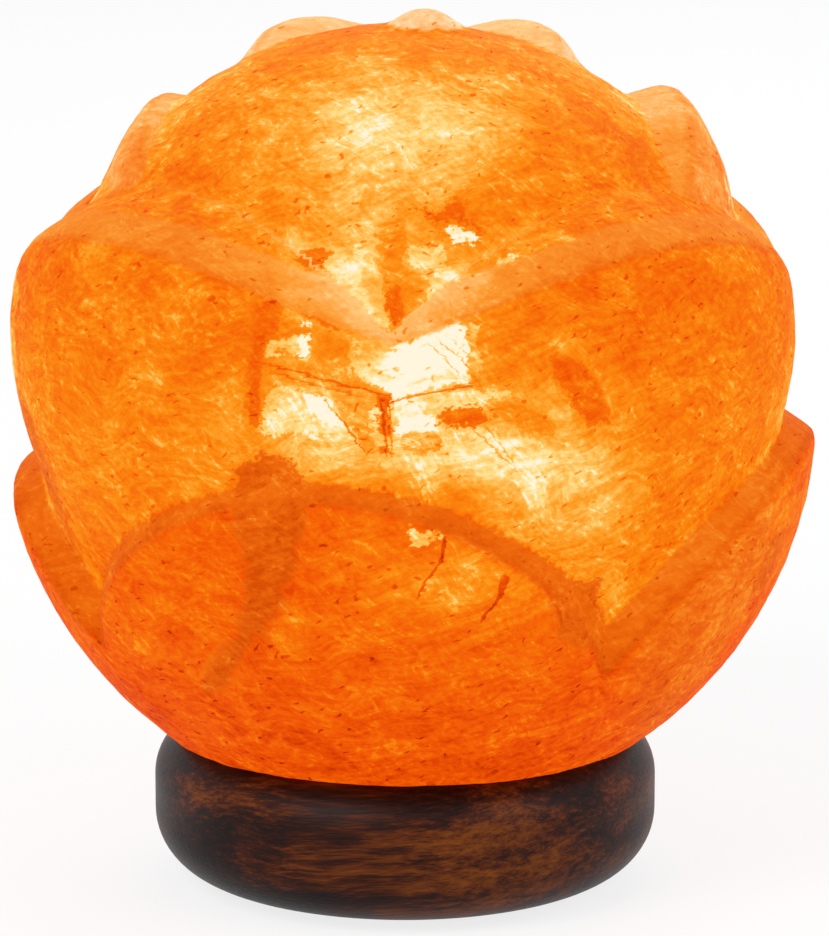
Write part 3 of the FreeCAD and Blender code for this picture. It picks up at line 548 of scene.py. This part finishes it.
def salt_material():
    """Translucent rock salt: light from inside, with crystal patches, streaks, flecks and cracks."""
    g = Graph(bpy.data.materials.new("salt"))
    place = g.place()
    rim = g.attribute("rim")
    warp = g.shaken(place, 0.06, 12)
    coarse = g.noise(warp, 0.11, 3, 0.6) - 0.5
    fine = g.noise(place, 0.8, 3, 0.65) - 0.5
    streaks = g.noise(g.turned(warp, (0, 14, 0), (0.16, 0.5, 1.5)), 0.5, 4, 0.7) - 0.5
    combed = g.noise(g.turned(warp, (20, -38, 0), (0.2, 0.5, 1.9)), 0.6, 3, 0.6) - 0.5
    _, lots = g.cells(g.turned(g.shaken(warp, 0.4, 3), (50, 30, 40), (1, 0.6, 0.4)), 0.22)
    facets = g.part(lots, 1)
    glints = g.step(facets, 0.86, 0.9) - g.step(facets, 0.12, 0.08) * 0.6
    ragged = coarse * 9 + fine * 5
    torn = coarse * 8 + fine * 5 + streaks * 4
    patches = {name: g.step(g.attribute(name) + torn, -0.8, 0.1) for name in PATCHES}
    rim_band = g.step(rim + ragged * 0.3, -0.3, 0.4) * (1 - g.step(rim + ragged * 0.5, 8.4, 9.6))
    sparks = g.step(combed + fine * 0.8 + coarse * 0.5, 0.14, 0.24)
    texture = coarse * 0.40 + fine * 0.32 + streaks * 0.54 + combed * 0.28 + glints * 0.05 + sparks * 0.09
    window = g.attribute("window") * (1 - rim_band * 0.8)
    # painted shade: a thin darker line along the crease where each petal's face meets its bevelled rim
    edge = 1 - g.step(g.math("ABSOLUTE", rim + ragged * 0.3 - 0.4), 0.2, 1.6)
    value = g.attribute("warmth") + texture * (1 - rim_band * 0.4) - edge * 0.08 + rim_band * 0.03
    for name, target, strength in (("matte", 0.20, 0.85), ("cream", 0.90, 0.7), ("white", 1.04, 0.95),
                                   ("orange", 0.50, 0.75), ("brown", 0.30, 0.85)):
        value = value + patches[name] * window * strength * (texture + target - value)
    sheet = g.node("CombineXYZ")
    g.put(sheet.inputs[0], g.attribute("across") + coarse * 16 + fine * 5)
    g.put(sheet.inputs[1], g.attribute("down") + streaks * 16)
    lines = None
    for start, end, width, strength in CRACKS:
        line = g.dash(Wire(g, sheet.outputs[0]), start, end, width * SHEET_SCALE) * strength
        lines = line if lines is None else g.math("MAXIMUM", lines, line)
    # small dark inclusions, drawn out into dashes
    fleck_place = g.turned(g.shaken(place, 0.3, 4), (0, 25, 30), (0.6, 1, 2.0))
    from_fleck, lots = g.cells(fleck_place, 0.32)
    flecks = (1 - g.step(from_fleck, 0.10, 0.22)) * g.step(g.part(lots, 0), 0.35, 0.45) * 0.65
    value = value - g.math("MAXIMUM", flecks, lines * window) * 0.4
    colour = g.ramp(value, GLOW_STOPS)
    peach = g.ramp(value, ((0.2, (240, 112, 24)), (0.5, (251, 158, 72)), (0.7, (253, 198, 132)),
                           (0.9, (254, 232, 194))))
    colour = g.blend(g.attribute("pale") * 0.8, colour, peach)
    matte = g.ramp(value, ((0.12, (210, 80, 2)), (0.34, (236, 110, 14)), (0.48, (245, 138, 36)),
                           (0.62, (251, 162, 58)), (0.9, (254, 216, 144))))
    dull = g.math("MAXIMUM", rim_band, patches["matte"])
    colour = g.blend(g.math("MAXIMUM", dull * 0.8, g.attribute("hazy")), colour, matte)
    g.set(Base_Color=(66, 10, 0), Roughness=0.6, Specular_IOR_Level=0.01, Emission_Color=colour,
          Emission_Strength=0.95)
    g.bump(streaks * 1.2 + fine * 0.8, 0.0009, 0.7)
    return g.owner


# ---------------------------------------------------------------- wooden base
def wood_material():
    """Dark oiled hardwood with a golden figure in its grain."""
    g = Graph(bpy.data.materials.new("wood"))
    place = g.place()
    bent = g.shaken(place, 0.03, 8)
    figure = g.noise(g.turned(bent, (0, 5, 12), (0.14, 0.7, 1.5)), 0.1, 3, 0.55)
    grain = g.noise(g.turned(bent, (0, 5, 12), (0.08, 1.2, 2.4)), 0.5, 4, 0.65)
    pores = g.noise(g.turned(place, (0, 5, 12), (0.10, 2.0, 4.0)), 1.1, 2, 0.6)
    golden = g.vector("LENGTH", g.vector("SUBTRACT", place, (18, -48, 12)))
    height = g.part(place, 2)
    # painted shade: the wood is darkened towards its foot and in the band just under the salt
    painted_shade_top_and_foot = g.step(height, 14, 2) * 0.09 + g.step(height, 24, 30) * 0.04
    tone = figure * 0.55 + grain * 0.45 + (pores - 0.5) * 0.2 + g.step(golden, 45, 5) * 0.07 - painted_shade_top_and_foot
    colour = g.ramp(tone, ((0.40, (12, 1, 0)), (0.48, (30, 7, 1)), (0.54, (54, 18, 1)), (0.60, (82, 36, 2)),
                           (0.70, (108, 56, 8))))
    g.set(Base_Color=colour, Roughness=g.step(pores, 0.2, 0.8) * 0.12 + 0.4, Specular_IOR_Level=0.12,
          Sheen_Weight=0.04, Sheen_Roughness=0.4)
    g.bump(grain * 0.5 + pores * 0.5, 0.0003, 0.5)
    return g.owner


# ---------------------------------------------------------------- holder, bulb and fixings
def metal(name, dark, light, rough, stretch=(1, 1, 1)):
    """Metal with fine marks from its making and duller clouds."""
    g = Graph(bpy.data.materials.new(name))
    place = g.place()
    marks = g.noise(g.turned(place, (0, 0, 0), stretch), 1.8, 4, 0.6)
    clouds = g.noise(place, 0.3, 3)
    g.set(Base_Color=g.ramp(marks * 0.4 + clouds * 0.6, ((0.36, dark), (0.62, light))), Metallic=1.0,
          Roughness=marks * 0.25 + clouds * 0.2 + (rough - 0.22))
    g.bump(marks, 0.00004, 0.5)
    return g.owner


def moulded(name, dark, light, rough, grain=2.5):
    """Moulded plastic or rubber with a fine grain and faint flow marks."""
    g = Graph(bpy.data.materials.new(name))
    place = g.place()
    flow = g.noise(g.shaken(place, 0.1, 6), 0.2, 3)
    fine = g.noise(place, grain, 3, 0.6)
    g.set(Base_Color=g.ramp(flow * 0.7 + fine * 0.3, ((0.35, dark), (0.65, light))),
          Roughness=fine * 0.2 + (rough - 0.1), Specular_IOR_Level=0.4)
    g.bump(fine, 0.00006, 0.5)
    return g.owner


def felt():
    """Pressed felt with short crossing fibres."""
    g = Graph(bpy.data.materials.new("felt"))
    place = g.shaken(g.place(), 1.2, 0.6)
    fibres = g.math("MAXIMUM", g.noise(g.turned(place, (0, 0, 40), (0.4, 3, 3)), 1.6, 3),
                    g.noise(g.turned(place, (0, 0, -50), (0.4, 3, 3)), 1.6, 3))
    g.set(Base_Color=g.ramp(fibres, ((0.42, (30, 27, 24)), (0.7, (78, 72, 66)))), Roughness=0.95,
          Sheen_Weight=0.3, Specular_IOR_Level=0.1)
    g.bump(fibres, 0.0003, 0.8)
    return g.owner


def glass(name, clear, tinted):
    """Clear glass with faint cords from blowing or pressing."""
    g = Graph(bpy.data.materials.new(name))
    cords = g.noise(g.turned(g.place(), (0, 0, 0), (1, 1, 0.25)), 0.35, 3)
    g.set(Base_Color=g.ramp(cords, ((0.35, clear), (0.65, tinted))), Transmission_Weight=1.0, IOR=1.5,
          Roughness=cords * 0.06)
    return g.owner


def glowing():
    """Hot tungsten, brightest in the middle of its arc."""
    g = Graph(bpy.data.materials.new("filament_wire"))
    place = g.place()
    heat = g.step(g.math("ABSOLUTE", g.part(place, 0)), 6, 1) * 0.8 + g.noise(place, 2.0, 2) * 0.2
    g.set(Base_Color=(90, 84, 78), Metallic=1.0, Roughness=0.4, Emission_Strength=8.0,
          Emission_Color=g.ramp(heat, ((0.0, (255, 120, 30)), (0.4, (255, 176, 84)), (1.0, (255, 226, 160)))))
    return g.owner


def dress(material, *nodes):
    """Give the objects of CAD nodes a material."""
    for node in nodes:
        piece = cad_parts[node]
        piece.data.materials.clear()
        piece.data.materials.append(material)


def loft(name, rings, closed):
    """A skin over rings of points in millimetres; closed joins the last ring to the first."""
    rings = np.asarray(rings, float)
    rows, count = rings.shape[:2]
    faces = []
    for row in range(rows if closed else rows - 1):
        below, above = row * count, (row + 1) % rows * count
        faces += [(below + k, below + (k + 1) % count, above + (k + 1) % count, above + k) for k in range(count)]
    if not closed:
        faces += [tuple(range(count)), tuple(range((rows - 1) * count, rows * count))]
    mesh = bpy.data.meshes.new(name)
    mesh.from_pydata((rings.reshape(-1, 3) * MM).tolist(), [], faces)
    shell = bmesh.new()
    shell.from_mesh(mesh)
    bmesh.ops.recalc_face_normals(shell, faces=shell.faces)
    shell.to_mesh(mesh)
    shell.free()
    mesh.shade_smooth()
    piece = bpy.data.objects.new(name, mesh)
    bpy.context.scene.collection.objects.link(piece)
    return piece


def stand_for(piece, body, node, material):
    """Show a piece in place of a CAD node."""
    piece.data.materials.append(material)
    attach(piece, body)
    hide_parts(node)


def threaded_cap():
    """The bulb's cap with its rolled right-hand thread, flared to a collar at the glass."""
    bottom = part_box("bulb_cap")[0].z / MM
    pitch, turns, collar, sheet = 2.82, 6, 4.0, 0.4
    length = pitch * turns
    count = 72
    angle = np.linspace(0, 2 * math.pi, count, endpoint=False)
    profile = []
    for height in np.concatenate([np.linspace(0, length, 78), length + np.linspace(0.5, collar, 8)]):
        fade = min(1, height / 1.2) * min(1, max(0, (length - height) / 1.2))
        wave = 0.5 - 0.5 * np.cos(2 * math.pi * height / pitch - angle)
        radius = 6.3 + 0.62 * fade * wave ** 0.8 + 2.3 * max(0, height - length) / collar
        profile.append((radius, bottom + height))
    walls = profile + [(radius - sheet, height) for radius, height in reversed(profile)]
    rings = [np.stack([r * np.cos(angle), r * np.sin(angle), np.full(count, z)], 1) for r, z in walls]
    stand_for(loft("threaded_cap", rings, True), "bulb", "bulb_cap",
              metal("nickel_cap", (150, 146, 138), (196, 192, 182), 0.3))


def coiled_filament():
    """Fine coil of tungsten along a half ring."""
    low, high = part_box("filament")
    level = (low.z + high.z) / 2 / MM
    ring, coil, wire = 5.5, 0.26, 0.07
    turns, steps = 56, 12
    around = np.linspace(0, 2 * math.pi, 6, endpoint=False)
    rings = []
    for number in range(turns * steps + 1):
        share = number / (turns * steps)
        arc, twist = math.pi * share, 2 * math.pi * turns * share
        outward = np.array([math.cos(arc), math.sin(arc), 0])
        reach = math.cos(twist) * outward + math.sin(twist) * np.array([0, 0, 1])
        centre = ring * outward + np.array([0, 0, level]) + coil * reach
        ahead = np.array([-math.sin(arc), math.cos(arc), 0])
        rings.append([centre + wire * (math.cos(a) * reach + math.sin(a) * ahead) for a in around])
    stand_for(loft("coiled_filament", rings, False), "bulb", "filament", glowing())


def dress_small_parts():
    """Finishes of everything inside and under the lamp."""
    dress(felt(), "foot_pads")
    dress(metal("zinc_steel", (128, 130, 128), (190, 192, 190), 0.34), "fixing_screws", "screw_washers",
          "terminal_screws")
    dress(moulded("grey_nylon", (92, 94, 97), (120, 122, 125), 0.5), "salt_plugs")
    dress(moulded("black_phenolic", (14, 13, 13), (34, 32, 30), 0.38), "holder_cap", "holder_body")
    dress(moulded("black_rubber", (18, 18, 18), (36, 35, 34), 0.75, 1.6), "inlet_bush")
    dress(metal("brass", (160, 116, 44), (214, 172, 88), 0.3), "thread_sleeve", "centre_contact",
          "terminal_blocks", "contact_rivets")
    dress(metal("spring_steel", (104, 104, 106), (170, 170, 172), 0.32, (0.3, 0.3, 4)), "spring_clip")
    dress(metal("solder", (120, 120, 122), (176, 176, 176), 0.5), "bulb_button")
    dress(moulded("black_glass", (6, 6, 10), (22, 20, 26), 0.16), "bulb_insulator")
    dress(glass("clear_glass", (255, 255, 252), (246, 250, 247)), "bulb_glass")
    dress(glass("stem_glass", (240, 248, 244), (224, 238, 232)), "bulb_stem")
    dress(metal("wire", (140, 136, 128), (186, 182, 174), 0.3), "lead_wires")


# ---------------------------------------------------------------- stage
def make_stage():
    """Pale floor, soft studio lamps and a white surround."""
    bpy.ops.mesh.primitive_plane_add(size=8, location=(0, 0, 0))
    floor = bpy.context.object
    floor.name = "floor"
    g = Graph(bpy.data.materials.new("floor"))
    g.set(Base_Color=(238, 238, 238), Roughness=0.9, Specular_IOR_Level=0.1)
    seen = g.seen_rays()
    white = g.node("Emission")
    mixer = g.node("MixShader")
    g.put(mixer.inputs[0], seen * 0.8)
    g.put(mixer.inputs[1], Wire(g, g.shader.outputs[0]))
    g.put(mixer.inputs[2], Wire(g, white.outputs[0]))
    g.put(g.tree.nodes["Material Output"].inputs["Surface"], Wire(g, mixer.outputs[0]))
    floor.data.materials.append(g.owner)
    sky = Graph(bpy.data.worlds.new("surround"))
    bpy.context.scene.world = sky.owner
    background = sky.tree.nodes["Background"]
    background.inputs["Color"].default_value = (1, 1, 1, 1)
    sky.put(background.inputs["Strength"], sky.seen_rays() * 0.5 + 0.5)
    for name, place, size, power in (("key", (-0.7, -0.9, 1.0), 0.7, 12), ("fill", (0.9, -0.6, 0.7), 0.8, 6),
                                     ("back", (0.2, 1.0, 0.9), 0.8, 6)):
        data = bpy.data.lights.new(name, "AREA")
        data.energy = power
        data.size = size
        lamp = bpy.data.objects.new(name, data)
        bpy.context.scene.collection.objects.link(lamp)
        lamp.location = place
        lamp.rotation_euler = (Vector((0, 0, 0.09)) - lamp.location).to_track_quat("-Z", "Y").to_euler()


make_camera()
salt_ball()
dress(wood_material(), "wood_base")
threaded_cap()
coiled_filament()
dress_small_parts()
make_stage()
bpy.context.scene.view_settings.view_transform = "Standard"
